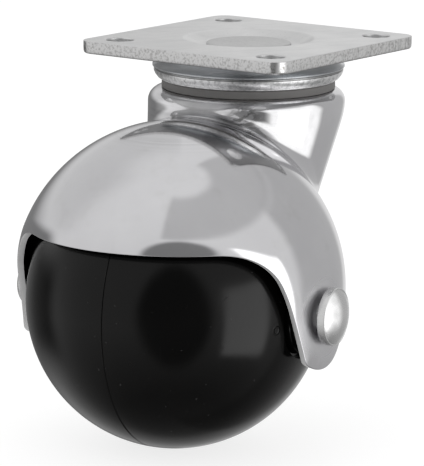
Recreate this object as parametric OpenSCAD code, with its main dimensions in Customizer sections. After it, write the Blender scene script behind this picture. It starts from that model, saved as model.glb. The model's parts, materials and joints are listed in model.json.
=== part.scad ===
// Hooded ball caster on a square swivel plate.
//
// Frame: the origin is the centre of the plate's top face, on the swivel axis, and +Z points up
// into the furniture. The plate's sides run along X and Y. The ball trails the swivel axis
// towards -X, and the whole hood is turned by rest_turn about the swivel axis.

/* [Top plate] */
// Side length of the square plate
plate_side = 42; // [40:0.5:46]
// Thickness of the plate's sheet steel
plate_t = 2.2; // [2:0.1:2.5]
// Radius of the plate's corners
plate_corner_r = 2.8; // [1:0.1:4]
// Distance between neighbouring screw hole centres
hole_spacing = 31.5; // [30.5:0.25:33]
// Diameter of each screw hole
hole_d = 4.8; // [4:0.1:5.5]
// Depth of the pressed dish that sinks the king pin's head
dish_depth = 1.2; // [0.9:0.1:1.4]

/* [Swivel] */
// Turn of the hood about the swivel axis at rest, in degrees
rest_turn = 8.5; // [-180:0.5:180]
// Diameter of every bearing ball
bearing_ball_d = 3.2; // [3:0.1:3.3]
// Number of balls between the plate's race and the hood
upper_ball_count = 20; // [12:1:21]
// Number of balls between the hood and the lower cup
lower_ball_count = 15; // [9:1:15]
// Widest diameter of the pressed race ring under the plate
race_rim_d = 33.1; // [32.8:0.1:33.8]
// Diameter of the king pin's upper shank
king_pin_d = 9.2; // [8:0.1:9.6]
// Diameter of the king pin's head
king_pin_head_d = 14.6; // [12:0.1:16]

/* [Hood] */
// Thickness of the hood's sheet steel
sheet_t = 1.2; // [1:0.1:1.3]
// Sideways gap between the ball and the inside of the hood
side_gap = 1.65; // [1.4:0.05:1.9]
// Height of the dome's centre above the axle
dome_lift = 2.1; // [1.5:0.1:2.6]
// Distance of the dome's centre from the axle, towards the swivel axis
dome_shift = 1.3; // [0.8:0.1:1.3]
// Outer radius of the neck at its shoulder
neck_r = 17; // [16.6:0.1:17.3]
// Radius of the neck's rounded shoulder
shoulder_r = 2.2; // [1.6:0.1:2.4]
// Height of the hood's front edge above the axle
front_edge = 12.45; // [11:0.05:14]
// Height of the hood's rear edge above the axle
rear_edge = 0; // [-1:0.1:2]
// Radius of the ear's rounded end around the axle
ear_r = 8.7; // [8.2:0.1:9.2]

/* [Ball wheel] */
// Diameter of the ball
ball_d = 50; // [48:0.5:51]
// Horizontal distance from the swivel axis to the axle
trail = 26; // [25.5:0.1:27]
// Height of the plate's top face above the axle
axle_drop = 40.8; // [40.4:0.1:42]
// Wall thickness of the ball's two shells
ball_wall = 2.8; // [2.2:0.1:3.2]
// Diameter of the axle rivet's shank
axle_d = 5; // [4.5:0.1:5.2]
// Diameter of the axle rivet's round head
axle_head_d = 9.5; // [8:0.1:10]

/* [Hidden] */
$fn = 128;

far = 70;                 // reaches past every surface
run_gap = 0.05;           // radial clearance of a running fit
seat_gap = 0.02;          // line-to-line clearance of fixed parts
ball_gap = 0.03;          // clearance between a bearing ball and its race groove
groove_depth = 0.45;      // depth of each race groove in its sheet

// Heights of the swivel stack, from the plate downwards
race_t = 1.1;
plate_bottom = -plate_t;
race_inner_r = 10;
race_under = plate_bottom - race_t;
bearing_r = bearing_ball_d / 2;
groove_r = bearing_r + ball_gap;
upper_ball_z = race_under + groove_depth - groove_r;
panel_top = upper_ball_z - groove_r + groove_depth;
panel_under = panel_top - sheet_t;
lower_ball_z = panel_under + groove_depth - groove_r;
cup_top = lower_ball_z - groove_r + groove_depth;
cup_t = 1.2;
cup_bottom = cup_top - cup_t;
washer_t = 1;
washer_bottom = cup_bottom - washer_t;
upper_pitch_r = 11.6;
lower_pitch_r = 8.6;
king_pin_r = king_pin_d / 2;
king_pin_tail_r = king_pin_r - 1;

// The neck's shoulder starts below the race ring's lip, behind the dust ring
race_rim_r = race_rim_d / 2;
race_lip_z = -7.5;
shoulder_z = -8.7;
panel_r = 13.2;
neck_x = -0.6;
neck_wall_z = -12;
neck_foot_x = -10;
neck_foot_r = 13;
neck_foot_z = -37;
neck_lean = atan2(neck_x - neck_foot_x, neck_wall_z - neck_foot_z);
neck_length = norm([neck_x - neck_foot_x, neck_wall_z - neck_foot_z]);
neck_overrun = 8;         // the leaning cone runs on above the shoulder by this length
neck_flare = 1.2;         // and is wider than the shoulder there by this radius

// Dome and axle
ball_r = ball_d / 2;
axle_x = -trail;
axle_z = -axle_drop;
dome_r = ball_r + side_gap + sheet_t;
dome_x = axle_x + dome_shift;
dome_z = axle_z + dome_lift;
skirt = 16;               // length of the straight wall below the dome's equator
ear_front_x = -12;        // where the ear's front edge line meets the front edge
ear_front_lean = 19.4;    // lean of the ear's front edge from the vertical
ear_rear_slope = 36;      // rise of the edge behind the ear
front_fillet_r = 8.5;
rear_fillet_r = 8;
boss_r = 5.6;
boss_face = dome_r + 0.35;
boss_inner = boss_face - sheet_t;
boss_recess_r = 4.9;
axle_r = axle_d / 2;
sleeve_r = axle_r + 0.9;
end_float = 1.1;          // gap under the rivet's head when its far end bears on the ear

// Ball wheel, along its own axis from the middle plane outwards
hub_r = 6.4;
hub_face = ball_r - 0.5;
bush_wall = 1.35;
bush_r = sleeve_r + run_gap + bush_wall;
bush_flange_t = 0.9;
bush_flange_r = 5.6;
bush_length = 12;
recess_r = 7.2;
recess_floor = ball_r - 2.1;
spigot_r = ball_r - ball_wall - 0.3;

// ---- helpers ----

// Turns a part from the trailing frame, where the ball trails along -X, to its rest position
module at_rest() {
    rotate([0, 0, rest_turn]) children();
}

// Puts a part drawn along +Z onto the axle's line, with +Z turned to +Y
module along_axle() {
    translate([axle_x, 0, axle_z]) rotate([-90, 0, 0]) children();
}

// Flat ring between two radii, from z_low to z_high
module ring(r_in, r_out, z_low, z_high) {
    translate([0, 0, z_low]) difference() {
        cylinder(r = r_out, h = z_high - z_low);
        translate([0, 0, -1]) cylinder(r = r_in, h = z_high - z_low + 2);
    }
}

// Torus that cuts or fills a ball groove
module torus(pitch_r, z, r) {
    rotate_extrude() translate([pitch_r, z]) circle(r = r, $fn = 64);
}

// Full turn of bearing balls
module ball_row(count, pitch_r, z) {
    for (i = [0 : count - 1])
        rotate([0, 0, 360 * i / count]) translate([pitch_r, 0, z]) sphere(r = bearing_r, $fn = 48);
}

// Round cap with one rounded top edge, as a half profile
module cap_profile(r, corner, z_top, z_low) {
    translate([0, z_low]) square([r, z_top - corner - z_low]);
    translate([0, z_top - corner]) square([r - corner, corner]);
    translate([r - corner, z_top - corner]) circle(r = corner, $fn = 64);
}

// Points along an arc of a circle, from one angle to another
function arc(centre, r, from, to, steps) =
    [for (i = [0 : steps]) let (a = from + (to - from) * i / steps) centre + r * [cos(a), sin(a)]];

// ---- swivel parts fixed to the plate ----

module plate_outline() {
    inner = plate_side / 2 - plate_corner_r;
    square([plate_side, 2 * inner], center = true);
    square([2 * inner, plate_side], center = true);
    for (x = [-inner, inner], y = [-inner, inner])
        translate([x, y]) circle(r = plate_corner_r, $fn = 64);
}

module top_plate() {
    dish_rim_r = 11;
    dish_floor_r = 8.6;
    emboss_r = race_inner_r - 0.3;
    color([0.78, 0.79, 0.8]) difference() {
        union() {
            translate([0, 0, plate_bottom]) linear_extrude(plate_t) plate_outline();
            translate([0, 0, plate_bottom - dish_depth]) cylinder(r = emboss_r, h = plate_t);
        }
        translate([0, 0, -dish_depth])
            cylinder(r1 = dish_floor_r, r2 = dish_rim_r, h = dish_depth);
        translate([0, 0, -dish_depth]) cylinder(r = dish_floor_r, h = far);
        translate([0, 0, -far]) cylinder(r = king_pin_r + seat_gap, h = 2 * far);
        for (x = [-1, 1], y = [-1, 1])
            translate([x * hole_spacing / 2, y * hole_spacing / 2, -far])
                cylinder(r = hole_d / 2, h = 2 * far);
    }
}

module upper_race() {
    flank_r = 4.35;
    top_r = race_rim_r - 1.35;
    lip_in = top_r - 1.1;
    color([0.74, 0.76, 0.79]) difference() {
        rotate_extrude() difference() {
            polygon([
                [race_inner_r, plate_bottom], [race_rim_r, plate_bottom],
                [race_rim_r, -5.75], [race_rim_r - 0.4, -6], [race_rim_r - 0.35, -6.2],
                [top_r, race_lip_z], [lip_in, race_lip_z], [race_rim_r - 1.4, -5.7],
                [lip_in - 0.2, race_under], [race_inner_r, race_under]
            ]);
            translate([top_r + flank_r, plate_bottom]) circle(r = flank_r);
        }
        torus(upper_pitch_r, upper_ball_z, groove_r);
    }
}

module king_pin() {
    head_top = -dish_depth + 0.45;
    head_r = king_pin_head_d / 2;
    clinch_r = king_pin_tail_r + 1.8;
    clinch_h = 1.8;
    color([0.75, 0.76, 0.78]) rotate_extrude() polygon([
        [0, head_top], [head_r - 0.25, head_top], [head_r, head_top - 0.2], [head_r, -dish_depth],
        [king_pin_r, -dish_depth], [king_pin_r, cup_top],
        [king_pin_tail_r, cup_top], [king_pin_tail_r, washer_bottom],
        [clinch_r, washer_bottom], [clinch_r - 0.2, washer_bottom - clinch_h / 2],
        [clinch_r - 1.4, washer_bottom - clinch_h], [0, washer_bottom - clinch_h]
    ]);
}

module king_pin_washer() {
    color([0.7, 0.71, 0.73]) ring(king_pin_tail_r + seat_gap, 6.4, washer_bottom, cup_bottom);
}

module lower_cup() {
    lip_in = lower_pitch_r + bearing_r + 0.1;
    lip_out = lip_in + 0.9;
    color([0.72, 0.73, 0.75]) difference() {
        union() {
            ring(king_pin_tail_r + seat_gap, lip_out, cup_bottom, cup_top);
            ring(lip_in, lip_out, cup_bottom, lower_ball_z + 0.25);
        }
        torus(lower_pitch_r, lower_ball_z, groove_r);
    }
}

// ---- bearing balls ----

module upper_balls() {
    color([0.6, 0.61, 0.63]) ball_row(upper_ball_count, upper_pitch_r, upper_ball_z);
}

module lower_balls() {
    color([0.6, 0.61, 0.63]) ball_row(lower_ball_count, lower_pitch_r, lower_ball_z);
}

// ---- hood and the parts that turn with it ----

module dust_ring() {
    color([0.33, 0.33, 0.31])
        ring(panel_r + run_gap, race_rim_r - 1.6, shoulder_z + seat_gap, race_lip_z - 0.12);
}

// Side view of the hood, in the plane of X and Z about the axle: the part of the sheet that
// is left when the front opening and the lower edge are trimmed
module side_keep() {
    lean = [sin(ear_front_lean), -cos(ear_front_lean)];
    normal = [cos(ear_front_lean), sin(ear_front_lean)];
    corner = [ear_front_x, front_edge];
    nearest = normal * (corner * normal);
    foot = nearest + lean * sqrt(pow(ear_r, 2) - pow(norm(nearest), 2));
    touch = ear_r * [sin(ear_rear_slope), -cos(ear_rear_slope)];
    rear_x = touch[0] + (rear_edge - touch[1]) / tan(ear_rear_slope);
    front_run = front_fillet_r * tan((90 - ear_front_lean) / 2);
    rear_run = rear_fillet_r * tan(ear_rear_slope / 2);
    polygon(concat(
        [[-far, far], [-far, front_edge]],
        arc(corner - [front_run, front_fillet_r], front_fillet_r, 90, ear_front_lean, 12),
        arc([0, 0], ear_r, atan2(foot[1], foot[0]), ear_rear_slope - 90, 12),
        arc([rear_x + rear_run, rear_edge - rear_fillet_r], rear_fillet_r,
            90 + ear_rear_slope, 90, 6),
        [[far, rear_edge], [far, far]]
    ));
}

// Dome with a straight skirt below its equator
module dome_body(r) {
    translate([dome_x, 0, dome_z]) rotate_extrude() {
        intersection() {
            circle(r = r);
            square([r + 1, r + 1]);
        }
        translate([0, -skirt]) square([r, skirt]);
    }
}

// Neck: a round shoulder on a wall that leans and narrows into the dome
module neck_body(inset) {
    translate([neck_x, 0, 0]) rotate_extrude()
        cap_profile(neck_r - inset, shoulder_r - inset, shoulder_z - inset, neck_wall_z);
    intersection() {
        translate([neck_foot_x, 0, neck_foot_z]) rotate([0, neck_lean, 0])
            cylinder(r1 = neck_foot_r - inset, r2 = neck_r + neck_flare - inset,
                     h = neck_length + neck_overrun);
        translate([neck_x, 0, neck_wall_z - far]) cylinder(r = neck_r - inset, h = far);
    }
}

// Raised panel that carries both ball races
module race_panel(inset) {
    rotate_extrude() cap_profile(panel_r - inset, 0.9 - inset / 2, panel_top - inset,
                                 shoulder_z - 1 - inset);
}

module hood() {
    color([0.82, 0.82, 0.84]) at_rest() intersection() {
        difference() {
            union() {
                dome_body(dome_r);
                neck_body(0);
                race_panel(0);
                along_axle() cylinder(r = boss_r, h = 2 * boss_face, center = true);
            }
            dome_body(dome_r - sheet_t);
            neck_body(sheet_t);
            race_panel(sheet_t);
            translate([0, 0, panel_under - 1]) cylinder(r = king_pin_r + 1.4, h = 4);
            torus(upper_pitch_r, upper_ball_z, groove_r);
            torus(lower_pitch_r, lower_ball_z, groove_r);
            along_axle() cylinder(r = boss_recess_r, h = 2 * boss_inner, center = true);
            along_axle() cylinder(r = axle_r + seat_gap, h = 2 * far, center = true);
        }
        translate([axle_x, 0, axle_z]) rotate([90, 0, 0])
            linear_extrude(2 * far, center = true) side_keep();
    }
}

module axle() {
    flange_t = 0.6;
    cap_h = 1.9;
    cap_base_r = axle_head_d / 2 - 0.25;
    cap_r = (pow(cap_base_r, 2) + pow(cap_h, 2)) / (2 * cap_h);
    peen_r = 4.3;
    peen_h = 1.4;
    color([0.84, 0.84, 0.85]) at_rest() along_axle() union() {
        translate([0, 0, -boss_face - end_float])
            cylinder(r = axle_r, h = 2 * boss_face + end_float);
        translate([0, 0, -boss_face - end_float]) mirror([0, 0, 1]) rotate_extrude() {
            square([axle_head_d / 2, flange_t]);
            intersection() {
                translate([0, flange_t + cap_h - cap_r]) circle(r = cap_r);
                translate([0, flange_t / 2]) square([cap_base_r, cap_r]);
            }
        }
        translate([0, 0, boss_face]) cylinder(r1 = peen_r, r2 = peen_r - 1, h = peen_h);
    }
}

module axle_sleeve() {
    color([0.68, 0.69, 0.71]) at_rest() along_axle()
        ring(axle_r + seat_gap, sleeve_r, seat_gap - boss_inner, boss_inner - seat_gap);
}

// Loose washer between an ear and the hub, drawn for the far side
module spacer() {
    ring(sleeve_r + seat_gap, boss_recess_r - 0.1,
         hub_face + bush_flange_t + run_gap, boss_inner - run_gap);
}

module spacer_near() {
    color([0.7, 0.71, 0.73]) at_rest() along_axle() mirror([0, 0, 1]) spacer();
}

module spacer_far() {
    color([0.7, 0.71, 0.73]) at_rest() along_axle() spacer();
}

// ---- ball wheel ----

// Flanged plain bearing pressed into one end of the hub
module hub_bush() {
    ring(sleeve_r + run_gap, bush_r, hub_face - bush_length, hub_face + 0.1);
    ring(sleeve_r + run_gap, bush_flange_r, hub_face, hub_face + bush_flange_t);
}

module hub_bush_near() {
    color([0.09, 0.09, 0.09]) at_rest() along_axle() mirror([0, 0, 1]) hub_bush();
}

module hub_bush_far() {
    color([0.09, 0.09, 0.09]) at_rest() along_axle() hub_bush();
}

// Half profile of one ball half: shell, pole recess and hub tube
module half_profile() {
    seam_depth = 0.14;
    difference() {
        union() {
            intersection() {
                difference() {
                    circle(r = ball_r);
                    circle(r = ball_r - ball_wall);
                }
                square([far, far]);
            }
            translate([bush_r, 0]) square([hub_r - bush_r, hub_face]);
            translate([hub_r - 0.5, recess_floor - 1.8]) square([recess_r + 1.7 - hub_r, 1.8]);
        }
        translate([hub_r, recess_floor]) square([recess_r - hub_r, far]);
        translate([0, hub_face]) square([hub_r + 0.1, far]);
        square([bush_r + seat_gap, far]);
        polygon([[ball_r + 1, -1], [ball_r + 1, 1], [ball_r - seam_depth, 0]]);
    }
}

// One ball half with its inner ribs, drawn for the far side
module ball_half() {
    rib_t = 1.8;
    rib_low = 2.2;
    rib_high = 19;
    rotate_extrude() half_profile();
    intersection() {
        sphere(r = ball_r - ball_wall / 2);
        for (i = [0 : 5])
            rotate([0, 0, 60 * i + 30])
                translate([hub_r - 0.3, -rib_t / 2, rib_low]) cube([ball_r, rib_t, rib_high - rib_low]);
    }
}

module ball_half_far() {
    color([0.07, 0.07, 0.075]) at_rest() along_axle() ball_half();
}

// The near half also carries the spigot that centres the two halves
module ball_half_near() {
    color([0.07, 0.07, 0.075]) at_rest() along_axle() {
        mirror([0, 0, 1]) ball_half();
        ring(spigot_r - 1.1, spigot_r, -2.5, 1.6);
        ring(spigot_r - 1.1, ball_r - ball_wall + 0.3, -2.5, 0);
    }
}

top_plate();
upper_race();
king_pin();
king_pin_washer();
lower_cup();
upper_balls();
lower_balls();
dust_ring();
hood();
axle();
axle_sleeve();
spacer_near();
spacer_far();
hub_bush_near();
hub_bush_far();
ball_half_near();
ball_half_far();
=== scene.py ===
"""Looks of the hooded ball caster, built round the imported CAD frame."""

import json
import math

import bmesh
import bpy
import numpy as np
from mathutils import Matrix, Vector


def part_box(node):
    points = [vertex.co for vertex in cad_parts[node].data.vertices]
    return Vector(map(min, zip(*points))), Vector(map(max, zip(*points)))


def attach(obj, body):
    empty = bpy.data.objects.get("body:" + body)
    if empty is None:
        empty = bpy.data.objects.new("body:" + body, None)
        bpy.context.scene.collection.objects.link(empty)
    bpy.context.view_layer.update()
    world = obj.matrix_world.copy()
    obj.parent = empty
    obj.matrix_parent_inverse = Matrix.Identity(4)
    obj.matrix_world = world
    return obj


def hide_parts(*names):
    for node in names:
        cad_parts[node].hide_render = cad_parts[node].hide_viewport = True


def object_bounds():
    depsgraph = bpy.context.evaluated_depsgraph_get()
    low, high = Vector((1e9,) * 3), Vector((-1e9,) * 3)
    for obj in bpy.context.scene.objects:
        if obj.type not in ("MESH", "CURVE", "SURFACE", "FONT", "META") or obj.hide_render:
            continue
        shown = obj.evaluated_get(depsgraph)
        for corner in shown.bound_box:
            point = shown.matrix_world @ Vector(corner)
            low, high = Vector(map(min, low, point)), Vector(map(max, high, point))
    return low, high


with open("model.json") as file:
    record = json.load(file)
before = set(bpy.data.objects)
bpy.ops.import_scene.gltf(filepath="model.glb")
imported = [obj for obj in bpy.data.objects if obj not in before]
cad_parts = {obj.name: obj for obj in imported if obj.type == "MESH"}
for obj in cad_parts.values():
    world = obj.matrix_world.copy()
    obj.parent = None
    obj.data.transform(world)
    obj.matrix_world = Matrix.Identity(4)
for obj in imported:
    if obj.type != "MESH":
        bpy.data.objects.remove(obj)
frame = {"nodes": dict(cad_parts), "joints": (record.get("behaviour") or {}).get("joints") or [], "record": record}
cad_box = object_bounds()

# ---- numbers shared with the CAD part; lengths are in mm in the trailing frame ----
# The trailing frame is the row frame before the hood's turn at rest: the ball trails along -X.
MM = 0.001
joints = {j["name"]: j for j in frame["joints"]}
wheel = joints["wheel_spin"]
TURN = math.atan2(-wheel["axis"][0], wheel["axis"][1])
TRAIL = math.hypot(*wheel["pos_m"][:2]) / MM
AXLE = np.array([-TRAIL, 0.0, wheel["pos_m"][2] / MM])


def size_of(node, axis):
    low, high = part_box(node)
    return (high[axis] - low[axis]) / MM


BALL_R = size_of("ball_half_near", 2) / 2
PLATE_SIDE = size_of("top_plate", 0)
SHEET = 1.2
PLATE_T = 2.2
HOLE_STEP = frame["record"]["mounts"][0]["dims"]["spacing_x_mm"] / 2
HOLE_R = frame["record"]["mounts"][0]["dims"]["hole_r_mm"]
RACE_R = size_of("upper_race", 0) / 2

DOME = AXLE + [1.3, 0, 2.1]
DOME_R = BALL_R + 1.65 + SHEET
NECK_X, NECK_R = -0.6, 17.0
SHOULDER_Z, SHOULDER_R = -8.45, 2.25
WALL_Z, LEAN, TAPER = -12.0, 0.376, 0.158
FILLET = 3.0
RACE_LOW = -6.95
PANEL_Z, PANEL_R = -5.66, 13.2
FAR_EAR_Y = 27.45
AXLE_R = 2.5
HEAD_Y = DOME_R + 0.65
PIN_R = 4.6
TRACK_R, TRACK_BALL_R, TRACK_Z = 11.6, 1.63, -4.48
TRACK_TILT = 46.4
COLUMNS = 200
CURL, CURL_RUN = 0.42, 3.0
INSIDE_HOOD = [-12, 0, -30]


def turned(points):
    """Points of the trailing frame, in mm, as metres in the row frame."""
    c, s = math.cos(TURN), math.sin(TURN)
    p = np.asarray(points, float)
    return np.stack([c * p[..., 0] - s * p[..., 1], s * p[..., 0] + c * p[..., 1], p[..., 2]], -1) * MM


def arc(cx, cy, r, start, end, steps):
    """Points along an arc, from one angle to another in degrees."""
    a = np.radians(np.linspace(start, end, steps + 1))
    return np.stack([cx + r * np.cos(a), cy + r * np.sin(a)], -1)


def path(*parts):
    return np.concatenate([np.atleast_2d(np.asarray(p, float)) for p in parts])


def travelled(line):
    """Length along a polyline at each of its points."""
    return np.concatenate([[0], np.cumsum(np.linalg.norm(np.diff(line, axis=0), axis=1))])


# ---- meshes ----

def make_object(name, verts, faces, sharp=32):
    mesh = bpy.data.meshes.new(name)
    mesh.from_pydata(np.asarray(verts).tolist(), [], np.asarray(faces).tolist())
    bm = bmesh.new()
    bm.from_mesh(mesh)
    bmesh.ops.remove_doubles(bm, verts=bm.verts, dist=1e-8)
    bmesh.ops.recalc_face_normals(bm, faces=bm.faces)
    bm.to_mesh(mesh)
    bm.free()
    obj = bpy.data.objects.new(name, mesh)
    bpy.context.scene.collection.objects.link(obj)
    smooth(obj, sharp)
    return obj


def smooth(obj, sharp):
    obj.data.polygons.foreach_set("use_smooth", [True] * len(obj.data.polygons))
    obj.data.set_sharp_from_angle(angle=math.radians(sharp))


def grid_faces(rows, columns, closed):
    index = np.arange(rows * columns).reshape(rows, columns)
    below = np.roll(index, -1, 0) if closed else index[1:]
    above = index if closed else index[:-1]
    quads = np.stack([above, np.roll(above, -1, 1), np.roll(below, -1, 1), below], -1)
    return quads.reshape(-1, 4)


def lathe(name, profile, along="z", segments=160, closed=True, sharp=32, move=None):
    """Turns a closed profile of (radius, height) points about Z, or about the axle's line."""
    a = np.linspace(0, 2 * math.pi, segments, endpoint=False)
    r, h = (np.asarray(profile, float)[:, i, None] for i in (0, 1))
    x, y, z = r * np.cos(a), r * np.sin(a), h + 0 * a
    if move:
        x, y, z = move(x, y, z)
    if along == "z":
        p = np.stack([x, y, z], -1)
    else:
        p = np.stack([AXLE[0] + x, z, AXLE[2] + y], -1)
    return make_object(name, turned(p).reshape(-1, 3), grid_faces(len(profile), segments, closed), sharp)


def boolean(obj, other, operation, sharp=32):
    mod = obj.modifiers.new("cut", "BOOLEAN")
    mod.operation, mod.solver, mod.object = operation, "MANIFOLD", other
    graph = bpy.context.evaluated_depsgraph_get()
    mesh = bpy.data.meshes.new_from_object(obj.evaluated_get(graph))
    obj.modifiers.clear()
    obj.data = mesh
    bpy.data.objects.remove(other)
    smooth(obj, sharp)


# ---- hood ----

def softplus(x, width):
    return width * np.logaddexp(0, x / width)


def soft_window(count):
    window = np.hanning(count)
    return window / window.sum()


def neck_distance(p):
    """Distance outside the leaning neck with its rounded shoulder."""
    width = 0.8
    drop = softplus(WALL_Z - p[..., 2], width)
    grow = 1 / (1 + np.exp(-(WALL_Z - p[..., 2]) / width))
    dx = p[..., 0] - NECK_X + LEAN * drop
    reach = np.hypot(dx, p[..., 1])
    slope = grow * (LEAN * dx / np.maximum(reach, 1e-6) + TAPER)
    wall = (reach - NECK_R + TAPER * drop) / np.sqrt(1 + slope ** 2) + SHOULDER_R
    top = p[..., 2] - SHOULDER_Z + SHOULDER_R
    return (np.minimum(np.maximum(wall, top), 0) - SHOULDER_R
            + np.hypot(np.maximum(wall, 0), np.maximum(top, 0)))


def dome_distance(p):
    """Distance outside the dome, which goes straight down below its middle."""
    up = np.maximum(p[..., 2] - DOME[2], 0)
    return np.sqrt((p[..., 0] - DOME[0]) ** 2 + p[..., 1] ** 2 + up ** 2) - DOME_R


def hood_distance(p):
    """Neck and dome joined by a hollow fillet."""
    a, b = neck_distance(p), dome_distance(p)
    corner = np.hypot(np.maximum(FILLET - a, 0), np.maximum(FILLET - b, 0))
    return np.maximum(np.minimum(a, b), FILLET) - corner


def settle(p, distance, turns=8):
    """Moves points onto the surface where the distance is zero."""
    step = 0.01
    for _ in range(turns):
        g = np.stack([distance(p + step * e) - distance(p - step * e) for e in np.eye(3)], -1)
        g /= np.maximum(np.linalg.norm(g, axis=-1, keepdims=True), 1e-9)
        p = p - distance(p)[..., None] * g
    return p


def along(points, at):
    """Points at given lengths along each polyline; points (n, s, 3), at (n, m)."""
    out = np.empty((len(points), at.shape[1], 3))
    for i, line in enumerate(points):
        length = travelled(line)
        for k in range(3):
            out[i, :, k] = np.interp(at[i], length, line[:, k])
    return out


def side_outline():
    """Side view of the trimmed edge about the axle, from the rear of the hood to its front."""
    front_z, rear_z, ear_r = 12.45, 0.0, 8.7
    lean, slope = math.radians(19.4), math.radians(36)
    front_r, rear_r = 8.5, 8.0
    corner = np.array([-12.0, front_z])
    normal = np.array([math.cos(lean), math.sin(lean)])
    down = np.array([math.sin(lean), -math.cos(lean)])
    nearest = normal * (corner @ normal)
    foot = nearest + down * math.sqrt(ear_r ** 2 - nearest @ nearest)
    touch = ear_r * np.array([math.sin(slope), -math.cos(slope)])
    rear_x = touch[0] + (rear_z - touch[1]) / math.tan(slope)
    front_run = front_r * math.tan((math.pi / 2 - lean) / 2)
    rear_run = rear_r * math.tan(slope / 2)
    line = path(
        [20.0, rear_z],
        arc(rear_x + rear_run, rear_z - rear_r, rear_r, 90, 90 + 36, 12),
        arc(0, 0, ear_r, 36 - 90, math.degrees(math.atan2(*foot[::-1])), 24),
        arc(corner[0] - front_run, corner[1] - front_r, front_r, 19.4, 90, 24),
        [-22.5, front_z])
    length = travelled(line)
    at = np.arange(0, length[-1], 0.1)
    dense = np.stack([np.interp(at, length, line[:, k]) for k in (0, 1)], -1)
    window = soft_window(27)
    pad = len(window) // 2
    padded = np.pad(dense, ((pad, pad), (0, 0)), mode="edge")
    soft = np.stack([np.convolve(padded[:, k], window, "valid") for k in (0, 1)], -1)
    return soft[pad:-pad]


def edge_curve():
    """Half of the opening edge on the dome, from the rear middle to the front middle, y >= 0."""
    side = side_outline() + AXLE[[0, 2]]

    def on_dome(x, z):
        wide = DOME_R ** 2 - np.maximum(z - DOME[2], 0) ** 2
        return np.stack([x, np.sqrt(np.maximum(wide - (x - DOME[0]) ** 2, 0)), z], -1)

    def run(end, middle):
        wide = math.sqrt(DOME_R ** 2 - max(end[1] - DOME[2], 0) ** 2)
        a = np.linspace(math.acos((end[0] - DOME[0]) / wide), middle, 60)[1:]
        return np.stack([DOME[0] + wide * np.cos(a), wide * np.sin(a), 0 * a + end[1]], -1)

    rear, front = run(side[0], 0.0)[::-1], run(side[-1], math.pi)
    return np.concatenate([rear, on_dome(side[:, 0], side[:, 1]), front])


def hood_rows():
    """Rows of the hood's skin, each a closed ring of points round the neck."""
    n = COLUMNS
    u = np.linspace(0, math.pi, n + 1)
    ring = np.stack([np.cos(u), np.sin(u)], -1)

    # down the shoulder and the neck's wall, until it dips into the dome
    steps = np.concatenate([np.linspace(0, 4, 81), np.linspace(4, 32, 561)[1:]])
    flat = 0.4
    turn = np.clip((steps - flat) / SHOULDER_R, 0, math.pi / 2)
    r = 14.4 + np.minimum(steps, flat) + SHOULDER_R * np.sin(turn)
    straight = np.maximum(steps - flat - SHOULDER_R * math.pi / 2, 0)
    z = SHOULDER_Z - SHOULDER_R * (1 - np.cos(turn)) - straight
    drop = softplus(WALL_Z - z, 0.8)
    r, cx = r - TAPER * drop, NECK_X - LEAN * drop
    wall = np.stack([cx + ring[:, :1] * r, ring[:, 1:] * r, z + 0 * ring[:, :1]], -1)
    inside = dome_distance(wall) < 0
    first = inside.argmax(1)
    meet = []
    for i in range(n + 1):
        a, b = wall[i, first[i] - 1], wall[i, first[i]]
        da, db = dome_distance(a), dome_distance(b)
        meet.append(a + (b - a) * da / (da - db))
    meet = np.array(meet)
    neck = [np.concatenate([wall[i, :first[i]], meet[i:i + 1]]) for i in range(n + 1)]
    neck_length = np.array([travelled(line)[-1] for line in neck])

    # over the dome to the opening edge
    edge = edge_curve()
    edge_at = travelled(edge)
    share = np.interp(np.degrees(u), [0, 40, 70, 90, 112, 132, 180],
                      [0, 0.22, 0.40, 0.50, 0.61, 0.74, 1.0])
    slopes = np.pad(np.diff(share), 20, mode="reflect")
    share = np.concatenate([[0], np.cumsum(np.convolve(slopes, soft_window(41), "valid"))])
    share /= share[-1]
    ends = np.stack([np.interp(share * edge_at[-1], edge_at, edge[:, k]) for k in range(3)], -1)
    t = np.linspace(0, 1, 161)[None, :, None]
    dome = settle(meet[:, None] * (1 - t) + ends[:, None] * t, dome_distance, 3)
    dome_length = np.array([travelled(line)[-1] for line in dome])

    # where the fillet ends on the dome
    fold = np.array([np.interp(FILLET, neck_distance(line), travelled(line)) for line in dome[:, :100]])

    def spread(low, high, count, ease=1.0):
        s = np.linspace(0, 1, count + 1)[1:] ** ease
        return low[:, None] + (high - low)[:, None] * s

    start = 0 * neck_length
    upper = np.minimum(3.9, 0.7 * (neck_length - 3.2))
    near = neck_length - 3.2
    neck_at = np.concatenate([spread(start, upper, 10), spread(upper, near, 18),
                              spread(near, neck_length, 12)], 1)
    dome_at = np.concatenate([spread(start, fold - 0.35, 8), spread(fold - 0.35, fold + 0.55, 12),
                              spread(fold + 0.55, dome_length - 3.0, 56),
                              spread(dome_length - 3.0, dome_length - 0.25, 9)], 1)
    neck_points = np.stack([along(neck[i][None], neck_at[i:i + 1])[0] for i in range(n + 1)])
    guide = np.concatenate([neck_points, along(dome, dome_at)], 1)
    skin = settle(guide, hood_distance)
    return skin, ends


def flatten(p):
    """Draws the far ear in a little; the near one keeps the dome's round."""
    t = np.clip((13.0 - np.hypot(p[..., 0] - AXLE[0], p[..., 2] - AXLE[2])) / 8.0, 0, 1)
    out = p.copy()
    out[..., 1] -= t * t * (3 - 2 * t) * np.where(p[..., 1] > 15, DOME_R - FAR_EAR_Y, 0) * 1.6
    return out


def outward(rows):
    """Unit normals of the skin's rows, away from the inside of the hood."""
    across = np.roll(rows, -1, 1) - np.roll(rows, 1, 1)
    normal = np.cross(across, np.gradient(rows, axis=0))
    normal /= np.linalg.norm(normal, axis=2, keepdims=True)
    return normal * np.sign((normal * (rows - INSIDE_HOOD)).sum(2))[..., None]


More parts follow.
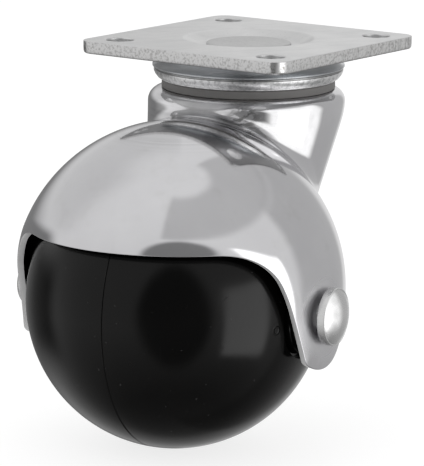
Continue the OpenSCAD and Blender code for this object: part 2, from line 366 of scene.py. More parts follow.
def build_hood():
    skin, ends = hood_rows()
    skin, ends = skin.transpose(1, 0, 2), ends[None]
    mirror = np.array([1, -1, 1])

    def whole(rows):
        return np.concatenate([rows, rows[:, -2:0:-1] * mirror], 1)

    skin, ends = flatten(whole(skin)), flatten(whole(ends))[0]

    # the sheet curls in a little towards its trimmed edge
    rows = np.concatenate([skin, ends[None]])
    steps = np.linalg.norm(np.diff(rows, axis=0), axis=2)[::-1]
    left = np.concatenate([0 * steps[:1], np.cumsum(steps, 0)])[::-1]
    front = 0.45 + 0.55 * np.clip((AXLE[0] - 8 - rows[..., 0]) / 8, 0, 1)
    rows = rows - outward(rows) * (CURL * front * np.clip(1 - left / CURL_RUN, 0, 1) ** 2)[..., None]
    skin, ends = rows[:-1], rows[-1]

    # frame of the trimmed edge: along it, out of the sheet, and off its end
    run = np.roll(ends, -1, 0) - np.roll(ends, 1, 0)
    run /= np.linalg.norm(run, axis=1, keepdims=True)
    inward = ends - skin[-1]
    out = np.cross(run, inward)
    out /= np.linalg.norm(out, axis=1, keepdims=True)
    out *= np.sign((out * (ends - DOME)).sum(1))[:, None]
    off = np.cross(run, out)
    off *= np.sign((off * inward).sum(1))[:, None]
    round_r = 0.16
    rim = []
    for lift, angles in ((0, np.linspace(0, 90, 5)), (round_r * 2 - SHEET, np.linspace(90, 180, 5))):
        for a in np.radians(angles):
            rim.append(ends + off * (round_r * (math.sin(a) - 1))
                       + out * (lift + round_r * (math.cos(a) - 1)))
    rim = np.array(rim)

    # inner skin, one sheet's thickness below
    normal = outward(skin)
    inner = (skin - SHEET * normal)[::-2]

    # a sharp fold where the fillet meets the dome
    gap = neck_distance(skin) - FILLET
    near = np.exp(-(dome_distance(skin) / 0.8) ** 2)
    skin = skin - normal * ((0.10 * np.exp(-(gap / 0.13) ** 2)
                             - 0.05 * np.exp(-((gap + 0.32) / 0.16) ** 2)) * near)[..., None]

    # race panel on top, outside then inside, as (radius, height, shift of the centre)
    top = path(
        arc(6.0 + 0.25, PANEL_Z - 0.25, 0.25, 180, 90, 4),
        np.stack([np.linspace(6.8, 10.0, 4), np.full(4, PANEL_Z)], -1),
        arc(TRACK_R, TRACK_Z, TRACK_BALL_R, 180 + TRACK_TILT, 270 + 39.9, 14),
        arc(12.3, -6.56, 0.9, 60, 0, 5),
        [PANEL_R, -7.6], arc(PANEL_R + 0.2, SHOULDER_Z + 0.2, 0.2, 180, 270, 3), [14.0, SHOULDER_Z])
    under = path(
        [14.0, SHOULDER_Z - SHEET], arc(12.2, SHOULDER_Z - SHEET - 0.2, 0.2, 90, 180, 3),
        [12.0, -8.6], arc(11.7, -7.16, 0.3, 0, 90, 4), [10.4, PANEL_Z - SHEET],
        arc(8.6, -8.04, TRACK_BALL_R, TRACK_TILT, 180 - TRACK_TILT, 12),
        [6.9, PANEL_Z - SHEET], arc(6.0 + 0.25, PANEL_Z - SHEET + 0.25, 0.25, 270, 180, 4))
    u = np.linspace(0, 2 * math.pi, 2 * COLUMNS, endpoint=False)

    def rings(profile):
        shift = np.where(profile[:, 0] > 13.6, NECK_X, 0.0)[:, None]
        r, z = profile[:, :1], profile[:, 1:]
        return np.stack([shift + r * np.cos(u), r * np.sin(u), z + 0 * u], -1)

    rows = np.concatenate([rings(top), skin, rim, inner, rings(under)])
    hood = make_object("hood_shell", turned(rows).reshape(-1, 3),
                       grid_faces(len(rows), 2 * COLUMNS, True), 40)
    # materials: 0 plated outside, 1 inside and under the panel, 2 the sheared edge of the sheet
    row = np.repeat(np.arange(len(rows)), 2 * COLUMNS)
    cut = len(top) + len(skin) + 3
    index = np.where(row >= cut + 3, 1, np.where(row >= cut, 2, 0))
    hood.data.polygons.foreach_set("material_index", index.astype(np.int32))
    hole_r = AXLE_R + 0.02
    hole = lathe("hole", [[0, -40], [hole_r, -40], [hole_r, 40], [0, 40]], "axle", 96, False)
    boolean(hood, hole, "DIFFERENCE", 40)
    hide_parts("hood")
    return hood


# ---- ball ----

def half_profile():
    """Closed profile of one ball half about the axle, (radius, distance from the middle plane)."""
    wall, bore, hub, face, recess, floor = 2.8, 4.82, 6.4, BALL_R - 0.5, 7.2, BALL_R - 2.1
    inner = BALL_R - wall
    seam = 0.13
    pole = math.degrees(math.acos((recess + 0.12) / BALL_R))
    low = math.degrees(math.asin(seam / BALL_R))
    drop = floor - 1.8
    inner_pole = math.degrees(math.asin(drop / inner))
    return path(
        [BALL_R - 0.13, 0], arc(0, 0, BALL_R, low, 2.2, 4), arc(0, 0, BALL_R, 2.2, pole, 110)[1:],
        arc(recess + 0.1, math.sqrt(BALL_R ** 2 - recess ** 2) - 0.14, 0.1, 60, 180, 4),
        [recess, floor + 0.1], arc(recess - 0.1, floor + 0.1, 0.1, 0, -90, 3),
        [hub + 0.1, floor], [hub, floor + 0.1], [hub, face - 0.15], [hub - 0.15, face],
        [bore + 0.15, face], [bore, face - 0.15], [bore, 0], [hub, 0], [hub, drop],
        arc(0, 0, inner, inner_pole, 0, 40))


def rib(angle, flip):
    """One inner rib of a ball half, as a closed prism."""
    thick, low, high, skin = 0.9, 2.2, 19.0, BALL_R - 1.8
    a0, a1 = math.degrees(math.asin(low / skin)), math.degrees(math.asin(high / skin))
    shape = path([6.1, high], [6.1, low], arc(0, 0, skin, a0, a1, 16))
    c, s = math.cos(angle), math.sin(angle)
    sides = []
    for w in (-thick, thick):
        sides.append(np.stack([AXLE[0] + shape[:, 0] * c - w * s, flip * shape[:, 1],
                               AXLE[2] + shape[:, 0] * s + w * c], -1))
    n = len(shape)
    faces = [list(range(n)), list(range(2 * n - 1, n - 1, -1))]
    faces += [[i, (i + 1) % n, n + (i + 1) % n, n + i] for i in range(n)]
    mesh = bpy.data.meshes.new("rib")
    mesh.from_pydata(turned(np.concatenate(sides)).tolist(), [], faces)
    bm = bmesh.new()
    bm.from_mesh(mesh)
    bmesh.ops.triangulate(bm, faces=bm.faces)
    bmesh.ops.recalc_face_normals(bm, faces=bm.faces)
    bm.to_mesh(mesh)
    bm.free()
    obj = bpy.data.objects.new("rib", mesh)
    bpy.context.scene.collection.objects.link(obj)
    return obj


def build_ball(side, flip):
    profile = half_profile() * [1, flip]
    if side == "near":
        spigot = BALL_R - 3.1
        inner = BALL_R - 2.8
        deep = math.sqrt(inner ** 2 - 2.5 ** 2)
        keep = profile[:-1]
        keep = keep[~((np.abs(keep[:, 1]) < 2.5) & (np.abs(np.hypot(*keep.T) - inner) < 0.01))]
        profile = path(keep, [deep, -2.5], [spigot - 1.1, -2.5], [spigot - 1.1, 1.6],
                       [spigot, 1.6], [spigot, 0])
    ball = lathe("ball_shell_" + side, profile, "axle", 256)
    for i in range(6):
        boolean(ball, rib(math.radians(60 * i + 30), flip), "UNION")
    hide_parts("ball_half_" + side)
    return ball


# ---- rivet, plate and swivel ----

def build_axle():
    """Rivet slid towards its head, which stands off the ear on its shank."""
    far, near, r = FAR_EAR_Y, HEAD_Y, AXLE_R
    rim, lift = 1.4, 0.3
    cap_r, cap_h = 4.42, 1.28
    dome_r = (cap_r ** 2 + cap_h ** 2) / (2 * cap_h)
    tilt = math.degrees(math.asin(cap_r / dome_r))
    cap = arc(0, 0, dome_r, 90, 90 - tilt, 20)
    cap[:, 1] += rim + cap_h - dome_r + near
    cap[0, 0] = 0
    profile = path(
        cap, [cap_r + 0.06, near + rim - 0.05], arc(4.62, near + rim - 0.13, 0.13, 110, 0, 6),
        arc(4.62, near + 0.13, 0.13, 0, -90, 4), [r + 0.2, near], [r, near - 0.2],
        [r, -far], [4.15, -far], [4.3, -far - 0.15], [4.22, -far - 0.6], [3.9, -far - 1.1],
        [3.3, -far - 1.38], [2.0, -far - 1.45], [1.2, -far - 1.3], [0, -far - 1.15])

    def rise(x, y, z):
        """The head sits a little above the shank's middle, as it was upset."""
        return x, y + lift * np.clip((-z - near + 0.2) / 0.2, 0, 1), z

    axle = lathe("axle_rivet", profile * [1, -1], "axle", 128, False, move=rise)
    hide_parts("axle")
    return axle


def build_plate():
    """Stamped plate: loops of the outline, the holes and the dish, joined by flat faces."""
    half, corner = PLATE_SIDE / 2, 2.8
    bm = bmesh.new()

    def rounded(inset, z):
        points = []
        inner = half - corner
        r = corner - inset
        for k in range(4):
            a = math.radians(90 * k)
            cx, cy = inner * (math.cos(a) - math.sin(a)), inner * (math.sin(a) + math.cos(a))
            points.append(arc(cx, cy, r, 90 * k, 90 * k + 90, 14))
            points.append(points[-1][-1] - np.linspace(0, 1, 29)[1:-1, None]
                          * np.array([math.cos(a), math.sin(a)]) * 2 * inner)
        p = np.concatenate(points)
        return [Vector((x * MM, y * MM, z * MM)) for x, y in p]

    def circle(cx, cy, r, z, count):
        a = np.linspace(0, 2 * math.pi, count, endpoint=False)
        return [Vector(((cx + r * math.cos(t)) * MM, (cy + r * math.sin(t)) * MM, z * MM)) for t in a]

    def stack(loops):
        rings = [[bm.verts.new(p) for p in loop] for loop in loops]
        for one, two in zip(rings, rings[1:]):
            for i in range(len(one)):
                j = (i + 1) % len(one)
                bm.faces.new([one[i], one[j], two[j], two[i]])
        return rings[0], rings[-1]

    def fill(rings):
        edges = []
        for ring in rings:
            for i in range(len(ring)):
                edges.append(bm.edges.get([ring[i - 1], ring[i]]) or bm.edges.new([ring[i - 1], ring[i]]))
        bmesh.ops.triangle_fill(bm, edges=edges, use_beauty=True, use_dissolve=False)

    tops, bottoms = [], []
    outline = [(0.10, 0), (0.03, -0.03), (0, -0.10), (0, -1.1), (0.03, -1.75), (0.09, -1.95),
               (0.20, -2.10), (0.34, -2.18), (0.5, -PLATE_T)]
    a, b = stack([rounded(i, z) for i, z in outline])
    tops.append(a), bottoms.append(b)
    for x in (-HOLE_STEP, HOLE_STEP):
        for y in (-HOLE_STEP, HOLE_STEP):
            wall = [(0.22, 0), (0.10, -0.04), (0.02, -0.13), (0, -0.3), (0, -2.0), (0.1, -PLATE_T)]
            a, b = stack([circle(x, y, HOLE_R + d, z, 56) for d, z in wall])
            tops.append(a), bottoms.append(b)
    hole_r = PIN_R + 0.02
    dish = [(11.5, 0), (11.25, -0.02), (11.0, -0.08), (10.7, -0.2), (9.2, -0.93), (8.9, -1.08),
            (8.6, -1.17), (8.2, -1.2), (hole_r, -1.2), (hole_r, -3.4), (9.4, -3.4), (9.58, -3.35),
            (9.68, -3.2), (9.7, -3.0), (9.7, -2.3), (9.75, -2.22), (9.9, -PLATE_T)]
    a, b = stack([circle(0, 0, r, z, 128) for r, z in dish])
    tops.append(a), bottoms.append(b)
    fill(tops), fill(bottoms)
    bmesh.ops.recalc_face_normals(bm, faces=bm.faces)
    mesh = bpy.data.meshes.new("stamped_plate")
    bm.to_mesh(mesh)
    bm.free()
    plate = bpy.data.objects.new("stamped_plate", mesh)
    bpy.context.scene.collection.objects.link(plate)
    smooth(plate, 50)
    plate.modifiers.new("weighted", "WEIGHTED_NORMAL").keep_sharp = True
    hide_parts("top_plate")
    return plate


def build_king_pin():
    head_z, seat, cup, low, thin_r = -0.75, -1.2, -9.22, -11.42, 3.6
    profile = path(
        [0, head_z - 0.04], [5.6, head_z - 0.01], [6.6, head_z], arc(7.0, head_z - 0.3, 0.3, 90, 0, 5),
        [7.3, seat + 0.04], [7.2, seat + 0.005], [PIN_R, seat + 0.005], [PIN_R, cup],
        [thin_r, cup], [thin_r, low], [5.25, low], [5.4, low - 0.15], [5.3, low - 0.7],
        [4.9, low - 1.3], [4.2, low - 1.7], [3.4, low - 1.8], [0, low - 1.75])
    pin = lathe("king_pin_rivet", profile, "z", 128, False)
    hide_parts("king_pin")
    return pin


def build_race():
    """Pressed race ring: hollow flank, rim line, groove and a rough lower face."""
    top_r, flank = RACE_R - 1.35, 2.6
    low = math.degrees(math.acos((top_r + flank - RACE_R) / flank))
    flank_arc = arc(top_r + flank, -PLATE_T, flank, 180, 180 + low, 16)
    rim_z = flank_arc[-1][1]
    profile = path(
        [10.0, -2.3], [10.1, -PLATE_T], flank_arc, arc(RACE_R - 0.12, rim_z - 0.16, 0.12, 60, -60, 4),
        [RACE_R - 0.22, -4.88], [RACE_R - 0.40, -4.98], [RACE_R - 0.40, -5.13], [RACE_R - 0.22, -5.23],
        [RACE_R - 0.25, -5.55], [RACE_R - 0.48, -6.05], [RACE_R - 0.93, -6.62],
        arc(top_r - 0.18, RACE_LOW + 0.3, 0.3, 10, -90, 5),
        [top_r - 0.9, RACE_LOW], [top_r - 1.1, RACE_LOW + 0.1], [RACE_R - 1.45, -5.2],
        [top_r - 1.3, -3.35], [top_r - 1.45, -3.3], [12.73, -3.3],
        arc(TRACK_R, TRACK_Z, TRACK_BALL_R, TRACK_TILT, 180 - TRACK_TILT, 12), [10.1, -3.3], [10.0, -3.2])
    race = lathe("race_ring", profile, "z", 256)
    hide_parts("upper_race")
    return race


def build_gap_shade_ring():
    # painted shade: a dark ring fills the gap between the race and the hood's shoulder; its dark colour stands in
    # for the gap's shade
    low, high = SHOULDER_Z + 0.04, RACE_LOW - 0.06
    profile = path([13.42, low], [14.85, low], [14.95, low + 0.1], [14.93, high - 0.1], [14.85, high],
                   [13.35, high], [13.26, high - 0.1], [13.26, low + 0.16])
    ring = lathe("dust_seal", profile, "z", 192)
    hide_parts("dust_ring")
    return ring


# ---- materials ----

class Nodes:
    """Short calls for the nodes of one tree."""

    def __init__(self, tree, coords):
        self.tree, self.coords = tree, coords

    def put(self, node, values):
        for key, value in values.items():
            socket = node.inputs[key] if isinstance(key, int) else node.inputs[key.replace("_", " ")]
            if isinstance(value, bpy.types.NodeSocket):
                self.tree.links.new(value, socket)
            else:
                socket.default_value = value

    def node(self, kind, props=None, **values):
        node = self.tree.nodes.new("ShaderNode" + kind)
        for key, value in (props or {}).items():
            setattr(node, key, value)
        self.put(node, values)
        return node

    def stretched(self, *factors, turn=0.0):
        """Object coordinates turned about Z, then scaled."""
        node = self.node("Mapping", {"vector_type": "POINT"}, Vector=self.coords)
        node.inputs["Rotation"].default_value = (0, 0, turn)
        scale = self.node("VectorMath", {"operation": "MULTIPLY"})
        self.put(scale, {0: node.outputs[0], 1: factors})
        return scale.outputs[0]

    def noise(self, scale, detail=3.0, rough=0.55, vector=None, distortion=0.0):
        return self.node("TexNoise", None, Vector=vector or self.coords, Scale=scale,
                         Detail=detail, Roughness=rough, Distortion=distortion).outputs["Fac"]

    def math(self, operation, *values, clamp=False):
        node = self.node("Math", {"operation": operation, "use_clamp": clamp})
        self.put(node, dict(enumerate(values)))
        return node.outputs[0]

    def remap(self, value, a, b, low=0.0, high=1.0, kind="LINEAR"):
        node = self.node("MapRange", {"clamp": True, "interpolation_type": kind}, Value=value)
        self.put(node, {1: a, 2: b, 3: low, 4: high})
        return node.outputs[0]

    def within(self, value, low, high, soft):
        """One inside a range and zero outside it, with soft ends."""
        return self.math("MULTIPLY", self.remap(value, low - soft, low + soft, kind="SMOOTHSTEP"),
                         self.remap(value, high - soft, high + soft, 1, 0, "SMOOTHSTEP"))

    def near(self, centre, radius, soft):
        """One within a ball round a point of the trailing frame, in mm."""
        gap = self.node("VectorMath", {"operation": "DISTANCE"})
        self.put(gap, {0: self.coords, 1: tuple(turned(centre))})
        low, high = (radius - soft) * MM, (radius + soft) * MM
        return self.remap(gap.outputs["Value"], low, high, 1, 0, "SMOOTHSTEP")

    def mix(self, factor, a, b, blend="MIX"):
        node = self.node("Mix", {"data_type": "RGBA", "blend_type": blend})
        a, b = (v if isinstance(v, bpy.types.NodeSocket) else (*v, 1.0) for v in (a, b))
        self.put(node, {0: factor, 6: a, 7: b})
        return node.outputs[2]

    def bump(self, height, distance, strength=1.0, normal=None):
        node = self.node("Bump", None, Height=height, Distance=distance, Strength=strength)
        if normal:
            self.put(node, {"Normal": normal})
        return node.outputs[0]

    def split(self, vector=None):
        return self.node("SeparateXYZ", None, Vector=vector or self.coords).outputs


class Shader(Nodes):
    """A principled material."""

    def __init__(self, name, **values):
        self.mat = bpy.data.materials.new(name)
        self.mat.use_nodes = True
        tree = self.mat.node_tree
        self.bsdf = tree.nodes["Principled BSDF"]
        super().__init__(tree, tree.nodes.new("ShaderNodeTexCoord").outputs["Object"])
        self.set(**values)

    def set(self, **values):
        self.put(self.bsdf, values)


def grey(v, warm=0.0):
    return (v + warm, v, v - warm)


def paint(obj, shader, body, slot, *others):
    if obj.data.materials:
        obj.data.materials[0] = shader.mat
    else:
        obj.data.materials.append(shader.mat)
    for other in others:
        obj.data.materials.append(other.mat)
    if body:
        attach(obj, body)


CAMERA_TURN = TURN - math.radians(62.281)


def bearings(s, direction):
    """Azimuth to the right of the camera's side, and elevation, of a direction in degrees."""
    local = s.node("Mapping", {"vector_type": "POINT"}, Vector=direction)
    local.inputs["Rotation"].default_value = (0, 0, -CAMERA_TURN)
    right, away, up = s.split(local.outputs[0])
    return (s.math("DEGREES", s.math("ARCTAN2", right, s.math("MULTIPLY", away, -1.0))),
            s.math("DEGREES", s.math("ARCSINE", up)))


def softbox(s, left, right, low, high, soft):
    """Where a surface mirrors a range of directions, as a second softbox would show; a mask for painted
    reflections.
    """
    azimuth, elevation = bearings(s, s.tree.nodes.new("ShaderNodeTexCoord").outputs["Reflection"])
    return s.math("MULTIPLY", s.within(azimuth, left, right, soft), s.within(elevation, low, high, soft))


def chrome_material():
    """Polished plating, with drawing lines along the crease, a scuffed patch and a painted softbox reflection on
    the neck.
    """
    s = Shader("plated_hood", Metallic=1.0)
    # coordinates of the trailing frame in mm, and the distance from the neck's wall
    placed = s.node("Mapping", {"vector_type": "POINT"}, Vector=s.coords)
    placed.inputs["Rotation"].default_value = (0, 0, -TURN)
    placed.inputs["Scale"].default_value = (1 / MM, 1 / MM, 1 / MM)
    x, y, z = s.split(placed.outputs[0])
    drop = s.math("SUBTRACT", WALL_Z, z)
    dx = s.math("ADD", s.math("SUBTRACT", x, NECK_X), s.math("MULTIPLY", drop, LEAN))
    reach = s.math("SQRT", s.math("ADD", s.math("MULTIPLY", dx, dx), s.math("MULTIPLY", y, y)))
    wall = s.math("ADD", s.math("SUBTRACT", reach, NECK_R), s.math("MULTIPLY", drop, TAPER))
    along_crease = s.node("CombineXYZ", None, X=s.math("MULTIPLY", wall, 2.6), Y=s.math(
        "MULTIPLY", s.math("ARCTAN2", y, dx), 2.2), Z=0.5).outputs[0]
    lines = s.noise(1.0, 3, 0.6, along_crease, 0.25)
    beside = s.math("MULTIPLY", s.within(wall, 0.7, 3.6, 0.6), s.within(x, -34.0, -14.0, 3.0))
    beside = s.math("MULTIPLY", beside, s.remap(y, 2.0, -4.0))
    drawn = s.math("MULTIPLY", beside, s.remap(lines, 0.54, 0.66))
    cloud = s.noise(70, 3)
    stains = s.noise(240, 5, 0.65)
    neck = s.math("MULTIPLY", s.remap(z, -14.5, -13.0), s.remap(x, -9.0, -13.0))
    hoops = s.noise(1.0, 3, 0.6, s.stretched(25, 25, 2400))
    patch = s.near([-16.0, -7.6, -11.4], 2.5, 1.5)
    scratches = s.noise(1.0, 3, 0.6, s.stretched(500, 2600, 1000, turn=0.7), 0.3)
    scuff = s.math("MULTIPLY", patch, s.remap(scratches, 0.44, 0.56))
    tone = s.mix(s.remap(cloud, 0.35, 0.65), (0.648, 0.644, 0.660), (0.690, 0.687, 0.702))
    tone = s.mix(s.remap(stains, 0.55, 0.75, 0, 0.30), tone, grey(0.56, 0.004))
    tone = s.mix(s.math("MULTIPLY", neck, s.remap(hoops, 0.45, 0.70, 0, 0.28)), tone, grey(0.42))
    tone = s.mix(s.math("MULTIPLY", drawn, 0.8), tone, grey(0.16))
    tone = s.mix(s.math("MULTIPLY", scuff, 0.8), tone, grey(0.18, 0.002))
    ax, az = s.math("SUBTRACT", x, float(AXLE[0])), s.math("SUBTRACT", z, float(AXLE[2]))
    ear = s.math("SQRT", s.math("ADD", s.math("POWER", ax, 2.0), s.math("POWER", az, 2.0)))
    wave = s.bump(s.noise(150, 2), 0.00003, 0.35)
    scored = s.bump(s.math("ADD", scuff, drawn), 0.00002, 0.5, wave)
    rough = s.math("ADD", s.remap(cloud, 0.3, 0.7, 0.075, 0.12),
                   s.math("MULTIPLY", s.math("ADD", scuff, drawn), 0.2))
    rough = s.math("ADD", rough, s.remap(ear, 4.5, 8.5, 0.34, 0, "SMOOTHSTEP"))
    # painted reflection: emission where the plating mirrors the softbox to the right and a dimmer patch to the
    # left, kept to the neck and dimmed by the stains
    painted_softbox_reflection = s.math("ADD", s.math("MULTIPLY", softbox(s, 24, 97, -24, 36, 5), 0.48),
                  s.math("MULTIPLY", softbox(s, -125, -38, -25, 70, 12), 0.16))
    painted_softbox_reflection = s.math("MULTIPLY", painted_softbox_reflection, s.remap(wall, 1.4, 0.4))
    s.set(Base_Color=tone, Roughness=rough, Normal=s.bump(s.noise(1400, 2), 0.000002, 0.4, scored),
          Emission_Color=(1, 1, 1, 1),
          Emission_Strength=s.math("MULTIPLY", painted_softbox_reflection, s.remap(stains, 0.4, 0.75, 1.0, 0.65)))
    return s


def steel_material(name, tone, rough, grain=900, depth=0.00001):
    s = Shader(name, Metallic=1.0)
    cloud = s.noise(160, 4)
    speck = s.noise(grain, 4, 0.65)
    s.set(Base_Color=s.mix(s.remap(cloud, 0.3, 0.7), grey(tone * 0.9), grey(tone)),
          Roughness=s.remap(speck, 0.3, 0.7, rough * 0.8, rough * 1.25),
          Normal=s.bump(speck, depth, 0.7))
    return s


def plate_material():
    """Zinc plate: stained flat faces, granular sheared edges burnished at the corners, painted shade along their
    bottom.
    """
    s = Shader("zinc_plate", Metallic=1.0)
    x, y, z = s.split()
    half, flat = PLATE_SIDE / 2 * MM, (PLATE_SIDE / 2 - 2.2) * MM
    ax, ay = s.math("ABSOLUTE", x), s.math("ABSOLUTE", y)
    reach = s.math("MAXIMUM", ax, ay)
    sheared = s.math("MULTIPLY", s.remap(reach, half - 0.0009, half - 0.0003),
                     s.remap(z, -0.0001, -0.00003, 1, 0))
    corner = s.math("MULTIPLY", s.remap(ax, flat - 0.0002, flat + 0.0004),
                    s.remap(ay, flat - 0.0002, flat + 0.0004))
    stain = s.noise(110, 5, 0.62, distortion=0.6)
    drag = s.noise(1.0, 3, 0.6, s.stretched(70, 420, 60, turn=0.5))
    speck = s.noise(1500, 3, 0.7)
    grain = s.noise(2300, 2, 0.6)
    lines = s.noise(1.0, 2, 0.6, s.stretched(2600, 2600, 160))
    top = s.mix(s.remap(stain, 0.35, 0.7), grey(0.75, 0.001), grey(0.68, -0.002))
    top = s.mix(s.remap(drag, 0.5, 0.75, 0, 0.35), top, grey(0.52, -0.006))
    top = s.mix(s.remap(speck, 0.62, 0.72, 0, 0.35), top, grey(0.40))
    side = s.mix(s.remap(grain, 0.34, 0.52), grey(0.50, 0.004), grey(0.74, 0.002))
    drawn = s.math("MULTIPLY", s.remap(x, -0.004, 0.004), s.remap(lines, 0.52, 0.68, 0, 0.6))
    side = s.mix(drawn, side, grey(0.36))
    side = s.mix(corner, side, s.mix(s.remap(speck, 0.5, 0.62), grey(0.66), grey(0.30, 0.012)))
    # painted shade: a dark band along the bottom edge of the sheared sides, where the edge rolls under
    low = s.within(z, -0.00235, -0.00205, 0.00008)
    side = s.mix(s.math("MULTIPLY", low, 0.75), side, grey(0.16))
    rough = s.mix(sheared, s.mix(stain, grey(0.30), grey(0.42)), s.mix(corner, grey(0.5), grey(0.16)))
    flats = s.mix(0.5, speck_height(s, stain), speck_height(s, speck))
    height = s.mix(sheared, flats, speck_height(s, grain))
    s.set(Base_Color=s.mix(sheared, top, side), Roughness=rough, Normal=s.bump(height, 0.00004, 0.3))
    return s


def speck_height(s, value):
    return s.node("CombineXYZ", None, X=value, Y=value, Z=value).outputs[0]


def race_material():
    """Smooth flank above the rim line with a painted bluish reflection, painted groove shade, rough bright zinc
    below.
    """
    s = Shader("zinc_race", Metallic=1.0)
    z = s.split()[2]
    below = s.remap(z, -0.00503, -0.00487, 1, 0)
    cloud = s.noise(120, 4)
    smear = s.noise(1.0, 4, 0.6, s.stretched(90, 90, 700))
    speck = s.noise(1300, 4, 0.7)
    # the flank's bluish tint is a painted reflection; its smeared streaks are the ring's own
    flank = s.mix(s.remap(smear, 0.35, 0.68), grey(0.52, -0.02), grey(0.64, -0.014))
    rough_face = s.mix(s.remap(speck, 0.36, 0.55), grey(0.55, -0.002), grey(0.88))
    dots = s.remap(s.noise(700, 2), 0.71, 0.74)
    rough_face = s.mix(dots, rough_face, grey(0.06))
    # painted shade: the groove under the rim line is darkened
    groove = s.within(z, -0.00519, -0.00494, 0.00004)
    tone = s.mix(s.math("MULTIPLY", groove, 0.7), s.mix(below, flank, rough_face), grey(0.2))
    soft = s.bump(s.math("MULTIPLY", smear, s.remap(below, 0, 1, 1, 0)), 0.00004, 0.3)
    s.set(Base_Color=tone, Roughness=s.math("ADD", s.remap(cloud, 0.3, 0.7, 0.20, 0.28), s.math(
        "MULTIPLY", below, 0.08)), Normal=s.bump(s.math("MULTIPLY", speck, below), 0.00006, 0.6, soft))
    return s


def ball_material():
    """Semi-gloss black moulding with faint scratches, dust and an ejector mark beside the near ear."""
    s = Shader("ball_black", Metallic=0.0)
    cloud = s.noise(90, 4)
    scratch = s.remap(s.noise(1.0, 2, 0.5, s.stretched(160, 1800, 260, turn=0.4), 0.3), 0.70, 0.76)
    dust = s.remap(s.noise(1500, 1), 0.76, 0.79)
    ejector = [-34.9, -23.35, -41.7]
    mark = s.math("SUBTRACT", s.near(ejector, 0.75, 0.08), s.near(ejector, 0.5, 0.08))
    tone = s.mix(cloud, grey(0.0035), grey(0.006, 0.0003))
    tone = s.mix(s.math("MULTIPLY", dust, 0.6), tone, grey(0.05))
    rough = s.math("ADD", s.remap(cloud, 0.3, 0.7, 0.13, 0.21), s.math("MULTIPLY", scratch, 0.12))
    bumps = s.bump(s.noise(420, 3), 0.00001, 0.35)
    bumps = s.bump(mark, 0.0001, 0.6, bumps)
    s.set(Base_Color=tone, Roughness=rough, Specular_IOR_Level=0.34,
          Normal=s.bump(scratch, 0.000006, 0.4, bumps))
    return s


def plastic_material(name, tone, rough, warm=0.0, depth=0.00001):
    s = Shader(name, Metallic=0.0)
    cloud = s.noise(300, 4)
    s.set(Base_Color=s.mix(cloud, grey(tone * 0.8, warm), grey(tone * 1.1, warm)),
          Roughness=s.remap(cloud, 0.3, 0.7, rough * 0.85, min(1, rough * 1.15)),
          Normal=s.bump(s.noise(1600, 3), depth, 0.5))
    return s


chrome = chrome_material()
black = ball_material()
zinc = plate_material()
rivet_zinc = steel_material("zinc_rivet", 0.56, 0.36, 1600, 0.00003)
race_zinc = race_material()
rivet_chrome = steel_material("rivet_chrome", 0.72, 0.25, 900, 0.000005)
# painted highlight: the rivet's head glows where it mirrors a window of directions to the right, varied by noise
painted_rivet_highlight = softbox(rivet_chrome, 58, 112, -24, 38, 14)
cloud = rivet_chrome.remap(rivet_chrome.noise(900, 3), 0.3, 0.7, 0.34, 0.5)
rivet_chrome.set(Emission_Color=(1, 1, 1, 1),
                 Emission_Strength=rivet_chrome.math("MULTIPLY", painted_rivet_highlight, cloud))
inner_steel = steel_material("inner_steel", 0.28, 0.4)
# painted shade: the hood's inside and the underside of its panel are painted near black
painted_inside_shade = steel_material("hood_inside", 0.10, 0.5)
sheared = plastic_material("sheared_edge", 0.52, 0.5, 0.0, 0.00006)
ball_steel = steel_material("bearing_steel", 0.45, 0.18)
acetal = plastic_material("bush_acetal", 0.02, 0.45)
# painted shade: the dark olive grey of the ring in the gap
gap_shade = plastic_material("dust_seal", 0.17, 0.7, 0.004, 0.00003)

paint(build_hood(), chrome, "hood", "hood_chrome", painted_inside_shade, sheared)
paint(build_ball("near", -1), black, "ball_wheel", "ball_black")
paint(build_ball("far", 1), black, "ball_wheel", "ball_black")
paint(build_axle(), rivet_chrome, "hood", "axle_chrome")
paint(build_plate(), zinc, "plate", "zinc_plate")
paint(build_king_pin(), rivet_zinc, "plate", "zinc_rivet")
paint(build_race(), race_zinc, "plate", "zinc_race")
paint(build_gap_shade_ring(), gap_shade, "hood", "dust_seal")
inner = {"king_pin_washer": inner_steel, "lower_cup": inner_steel, "axle_sleeve": inner_steel,
         "spacer_near": inner_steel, "spacer_far": inner_steel,
         "upper_balls": ball_steel, "lower_balls": ball_steel,
         "hub_bush_near": acetal, "hub_bush_far": acetal}
for name, shader in inner.items():
    paint(frame["nodes"][name], shader, None, None)

# ---- studio ----

def build_floor():
    """White paper, bright to the camera; what shines sees the studio's own lower half instead."""
    low = cad_box[0][2]
    size = 3.0
    mesh = bpy.data.meshes.new("floor")
    corners = ((-1, -1), (1, -1), (1, 1), (-1, 1))
    mesh.from_pydata([(x * size, y * size, low - 0.0001) for x, y in corners], [], [(0, 1, 2, 3)])
    floor = bpy.data.objects.new("floor", mesh)
    bpy.context.scene.collection.objects.link(floor)
    s = Shader("floor_paper", Roughness=0.9, Specular_IOR_Level=0.0)
    paper = s.noise(900, 3)
    s.set(Base_Color=s.mix(paper, grey(0.38), grey(0.40)),
          Emission_Color=(1, 1, 1, 1), Emission_Strength=0.79)
    mesh.materials.append(s.mat)
    floor.visible_glossy = False


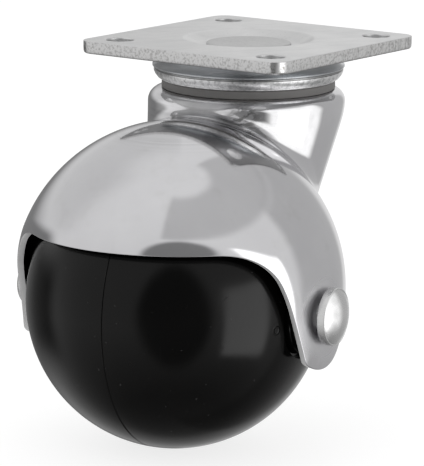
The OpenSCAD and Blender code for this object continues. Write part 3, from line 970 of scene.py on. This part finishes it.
def build_camera():
    """Camera of the photograph, as turn, elevation and roll about the caster."""
    elevation, roll = math.radians(11.705), math.radians(0.419)
    distance, side, height = 0.54488, -0.00607, -0.03432
    a, e, r = CAMERA_TURN, elevation, roll
    back = Vector((math.sin(a) * math.cos(e), -math.cos(a) * math.cos(e), math.sin(e)))
    level = Vector((math.cos(a), math.sin(a), 0))
    up = back.cross(level)
    right, up = level * math.cos(r) + up * math.sin(r), up * math.cos(r) - level * math.sin(r)
    target = level * side + Vector((0, 0, height))
    data = bpy.data.cameras.new("camera")
    data.lens, data.sensor_width = 242.05, 36
    data.clip_start, data.clip_end = 0.01, 20
    camera = bpy.data.objects.new("camera", data)
    bpy.context.scene.collection.objects.link(camera)
    camera.matrix_world = Matrix.Translation(target + back * distance) @ Matrix(
        (right, up, back)).transposed().to_4x4()
    bpy.context.scene.camera = camera


def build_world():
    """Studio by direction: pale walls, a softbox to the right, grey panels and the dark camera."""
    world = bpy.data.worlds.new("studio")
    world.use_nodes = True
    bpy.context.scene.world = world
    tree = world.node_tree
    s = Nodes(tree, tree.nodes.new("ShaderNodeTexCoord").outputs["Generated"])
    azimuth, elevation = bearings(s, s.coords)

    def window(left, right, low, high, soft):
        return s.math("MULTIPLY", s.within(azimuth, left, right, soft),
                      s.within(elevation, low, high, soft))

    def oval(az, el, wide, tall, soft):
        dx = s.math("DIVIDE", s.math("SUBTRACT", azimuth, float(az)), float(wide))
        dy = s.math("DIVIDE", s.math("SUBTRACT", elevation, float(el)), float(tall))
        away = s.math("SQRT", s.math("ADD", s.math("MULTIPLY", dx, dx), s.math("MULTIPLY", dy, dy)))
        return s.remap(away, 1 - soft, 1 + soft, 1, 0, "SMOOTHSTEP")

    level = s.remap(elevation, 0, 70, 0.79, 0.86)
    level = s.math("MULTIPLY", level, s.remap(elevation, -65, -12, 0.32, 1.0))
    shades = (
        (window(-16, 150, 42, 74, 3), 0.69),        # grey panel above
        (window(92, 156, -95, 42, 5), 0.65),        # grey wall to the right
        (window(-184, -100, 14, 62, 14), 0.84),     # far left wall
        (window(-186, -108, -28, 8, 9), 0.28),      # dark gap below it
        (oval(0, -1, 28, 39, 0.14), 0.30))          # camera and its stand
    for shape, factor in shades:
        level = s.math("MULTIPLY", level, s.remap(shape, 0, 1, 1, factor))
    box = window(38, 76, -31, 17, 2.5)
    level = s.math("MULTIPLY", level, s.remap(box, 0, 1, 1, 0))
    level = s.math("ADD", level, s.math("MULTIPLY", box, 1.9))
    colour = s.node("CombineXYZ", None, X=level, Y=level, Z=level).outputs[0]
    s.put(tree.nodes["Background"], {"Color": colour, "Strength": 1.0})


def set_tone():
    """A photograph's contrast: the darkest tones sink, the rest stay."""
    view = bpy.context.scene.view_settings
    view.view_transform = "Standard"
    view.use_curve_mapping = True
    points = view.curve_mapping.curves[3].points
    points.new(0.02, 0.0097)
    points.new(0.06, 0.056)
    view.curve_mapping.update()


build_floor()
build_camera()
build_world()
set_tone()
